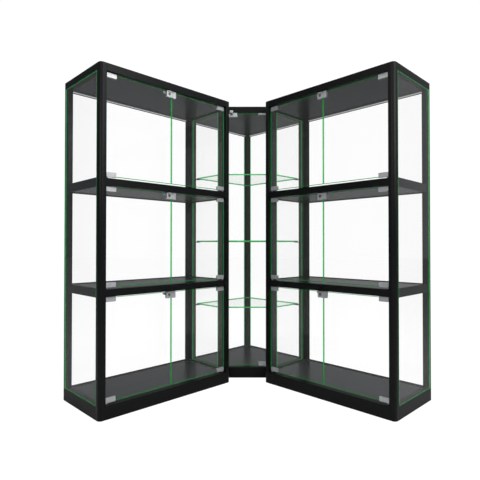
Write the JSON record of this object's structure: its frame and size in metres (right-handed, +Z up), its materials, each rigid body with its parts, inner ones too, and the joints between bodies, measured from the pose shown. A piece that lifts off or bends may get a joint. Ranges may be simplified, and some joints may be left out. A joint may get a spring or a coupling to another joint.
{
  "type": "corner glass display cabinet set",
  "caption": "Free-standing corner showcase: two framed glass cabinets with locking glass doors at a right angle, joined by a five-sided glass corner cabinet with shelves.",
  "frame": {"origin": "centre of the footprint's bounding box, on the floor plane under the levelling feet", "axes": "+Z up, +Y away from the viewer towards the room corner, +X to the viewer's right along the set's width"},
  "size_m": [2.3094, 1.4849, 2],
  "materials": {
    "black_frame": "satin",
    "clear_glass": "polished",
    "silver_fitting": "satin",
    "lock_steel": "brushed",
    "black_board": "satin laminate",
    "bush_plastic": "matte",
    "cap_plastic": "matte",
    "foot_steel": "satin",
    "spacer_plastic": "matte",
    "black_bracket": "satin"
  },
  "bodies": {
    "cabinet_frame": {"corner_boards": "black_board", "corner_fixed_panes": "clear_glass", "corner_glass_shelves": "clear_glass", "corner_plinth_rails": "black_frame", "corner_posts": "black_frame", "corner_shelf_brackets": "black_bracket", "corner_top_rails": "black_frame", "joining_spacers": "spacer_plastic", "left_back_pane": "clear_glass", "left_boards": "black_board", "left_end_panes": "clear_glass", "left_front_posts": "black_frame", "left_plinth_rails": "black_frame", "left_rear_posts": "black_frame", "left_shelf_rails": "black_frame", "left_top_rails": "black_frame", "levelling_feet": "foot_steel", "pivot_bushes": "bush_plastic", "post_caps": "cap_plastic", "right_back_pane": "clear_glass", "right_boards": "black_board", "right_end_panes": "clear_glass", "right_front_posts": "black_frame", "right_plinth_rails": "black_frame", "right_rear_posts": "black_frame", "right_shelf_rails": "black_frame", "right_top_rails": "black_frame"},
    "left_lower_outer_leaf": {"left_lower_outer_leaf_glass": "clear_glass", "left_lower_outer_leaf_fittings": "silver_fitting"},
    "left_lower_outer_lock_cam": {"left_lower_outer_lock_cam": "lock_steel"},
    "left_lower_inner_leaf": {"left_lower_inner_leaf_glass": "clear_glass", "left_lower_inner_leaf_fittings": "silver_fitting"},
    "left_middle_outer_leaf": {"left_middle_outer_leaf_glass": "clear_glass", "left_middle_outer_leaf_fittings": "silver_fitting"},
    "left_middle_outer_lock_cam": {"left_middle_outer_lock_cam": "lock_steel"},
    "left_middle_inner_leaf": {"left_middle_inner_leaf_glass": "clear_glass", "left_middle_inner_leaf_fittings": "silver_fitting"},
    "left_upper_outer_leaf": {"left_upper_outer_leaf_glass": "clear_glass", "left_upper_outer_leaf_fittings": "silver_fitting"},
    "left_upper_outer_lock_cam": {"left_upper_outer_lock_cam": "lock_steel"},
    "left_upper_inner_leaf": {"left_upper_inner_leaf_glass": "clear_glass", "left_upper_inner_leaf_fittings": "silver_fitting"},
    "right_lower_inner_leaf": {"right_lower_inner_leaf_glass": "clear_glass", "right_lower_inner_leaf_fittings": "silver_fitting"},
    "right_lower_inner_lock_cam": {"right_lower_inner_lock_cam": "lock_steel"},
    "right_lower_outer_leaf": {"right_lower_outer_leaf_glass": "clear_glass", "right_lower_outer_leaf_fittings": "silver_fitting"},
    "right_middle_inner_leaf": {"right_middle_inner_leaf_glass": "clear_glass", "right_middle_inner_leaf_fittings": "silver_fitting"},
    "right_middle_inner_lock_cam": {"right_middle_inner_lock_cam": "lock_steel"},
    "right_middle_outer_leaf": {"right_middle_outer_leaf_glass": "clear_glass", "right_middle_outer_leaf_fittings": "silver_fitting"},
    "right_upper_inner_leaf": {"right_upper_inner_leaf_glass": "clear_glass", "right_upper_inner_leaf_fittings": "silver_fitting"},
    "right_upper_inner_lock_cam": {"right_upper_inner_lock_cam": "lock_steel"},
    "right_upper_outer_leaf": {"right_upper_outer_leaf_glass": "clear_glass", "right_upper_outer_leaf_fittings": "silver_fitting"},
    "corner_door": {"corner_door_glass": "clear_glass", "corner_door_fittings": "silver_fitting"},
    "corner_door_lock_cam": {"corner_door_lock_cam": "lock_steel"}
  },
  "joints": [
    {"name": "left_lower_outer_leaf_hinge", "type": "hinge", "parent": "cabinet_frame", "child": "left_lower_outer_leaf", "pos_m": [-0.79231, -0.69681, 0.386], "axis": [0, 0, -1], "range_deg": [0, 90]},
    {"name": "left_lower_outer_lock_cam_turn", "type": "hinge", "parent": "left_lower_outer_leaf", "child": "left_lower_outer_lock_cam", "pos_m": [-0.49886, -0.40336, 0.663], "axis": [-0.7071, 0.7071, 0], "range_deg": [0, 73]},
    {"name": "left_lower_inner_leaf_hinge", "type": "hinge", "parent": "cabinet_frame", "child": "left_lower_inner_leaf", "pos_m": [-0.17713, -0.08163, 0.386], "axis": [0, 0, 1], "range_deg": [0, 65]},
    {"name": "left_middle_outer_leaf_hinge", "type": "hinge", "parent": "cabinet_frame", "child": "left_middle_outer_leaf", "pos_m": [-0.79231, -0.69681, 1.0225], "axis": [0, 0, -1], "range_deg": [0, 90]},
    {"name": "left_middle_outer_lock_cam_turn", "type": "hinge", "parent": "left_middle_outer_leaf", "child": "left_middle_outer_lock_cam", "pos_m": [-0.49886, -0.40336, 1.288], "axis": [-0.7071, 0.7071, 0], "range_deg": [0, 73]},
    {"name": "left_middle_inner_leaf_hinge", "type": "hinge", "parent": "cabinet_frame", "child": "left_middle_inner_leaf", "pos_m": [-0.17713, -0.08163, 1.0225], "axis": [0, 0, 1], "range_deg": [0, 65]},
    {"name": "left_upper_outer_leaf_hinge", "type": "hinge", "parent": "cabinet_frame", "child": "left_upper_outer_leaf", "pos_m": [-0.79231, -0.69681, 1.6585], "axis": [0, 0, -1], "range_deg": [0, 90]},
    {"name": "left_upper_outer_lock_cam_turn", "type": "hinge", "parent": "left_upper_outer_leaf", "child": "left_upper_outer_lock_cam", "pos_m": [-0.49886, -0.40336, 1.935], "axis": [-0.7071, 0.7071, 0], "range_deg": [0, 73]},
    {"name": "left_upper_inner_leaf_hinge", "type": "hinge", "parent": "cabinet_frame", "child": "left_upper_inner_leaf", "pos_m": [-0.17713, -0.08163, 1.6585], "axis": [0, 0, 1], "range_deg": [0, 65]},
    {"name": "right_lower_inner_leaf_hinge", "type": "hinge", "parent": "cabinet_frame", "child": "right_lower_inner_leaf", "pos_m": [0.17713, -0.08163, 0.386], "axis": [0, 0, -1], "range_deg": [0, 65]},
    {"name": "right_lower_inner_lock_cam_turn", "type": "hinge", "parent": "right_lower_inner_leaf", "child": "right_lower_inner_lock_cam", "pos_m": [0.47058, -0.37508, 0.663], "axis": [0.7071, 0.7071, 0], "range_deg": [0, 73]},
    {"name": "right_lower_outer_leaf_hinge", "type": "hinge", "parent": "cabinet_frame", "child": "right_lower_outer_leaf", "pos_m": [0.79231, -0.69681, 0.386], "axis": [0, 0, 1], "range_deg": [0, 90]},
    {"name": "right_middle_inner_leaf_hinge", "type": "hinge", "parent": "cabinet_frame", "child": "right_middle_inner_leaf", "pos_m": [0.17713, -0.08163, 1.0225], "axis": [0, 0, -1], "range_deg": [0, 65]},
    {"name": "right_middle_inner_lock_cam_turn", "type": "hinge", "parent": "right_middle_inner_leaf", "child": "right_middle_inner_lock_cam", "pos_m": [0.47058, -0.37508, 1.288], "axis": [0.7071, 0.7071, 0], "range_deg": [0, 73]},
    {"name": "right_middle_outer_leaf_hinge", "type": "hinge", "parent": "cabinet_frame", "child": "right_middle_outer_leaf", "pos_m": [0.79231, -0.69681, 1.0225], "axis": [0, 0, 1], "range_deg": [0, 90]},
    {"name": "right_upper_inner_leaf_hinge", "type": "hinge", "parent": "cabinet_frame", "child": "right_upper_inner_leaf", "pos_m": [0.17713, -0.08163, 1.6585], "axis": [0, 0, -1], "range_deg": [0, 65]},
    {"name": "right_upper_inner_lock_cam_turn", "type": "hinge", "parent": "right_upper_inner_leaf", "child": "right_upper_inner_lock_cam", "pos_m": [0.47058, -0.37508, 1.935], "axis": [0.7071, 0.7071, 0], "range_deg": [0, 73]},
    {"name": "right_upper_outer_leaf_hinge", "type": "hinge", "parent": "cabinet_frame", "child": "right_upper_outer_leaf", "pos_m": [0.79231, -0.69681, 1.6585], "axis": [0, 0, 1], "range_deg": [0, 90]},
    {"name": "corner_door_hinge", "type": "hinge", "parent": "cabinet_frame", "child": "corner_door", "pos_m": [0.135, 0.05343, 1.022], "axis": [0, 0, 1], "range_deg": [0, 80]},
    {"name": "corner_door_lock_cam_turn", "type": "hinge", "parent": "corner_door", "child": "corner_door_lock_cam", "pos_m": [-0.118, 0.05343, 1.945], "axis": [0, -1, 0], "range_deg": [0, 90]}
  ]
}
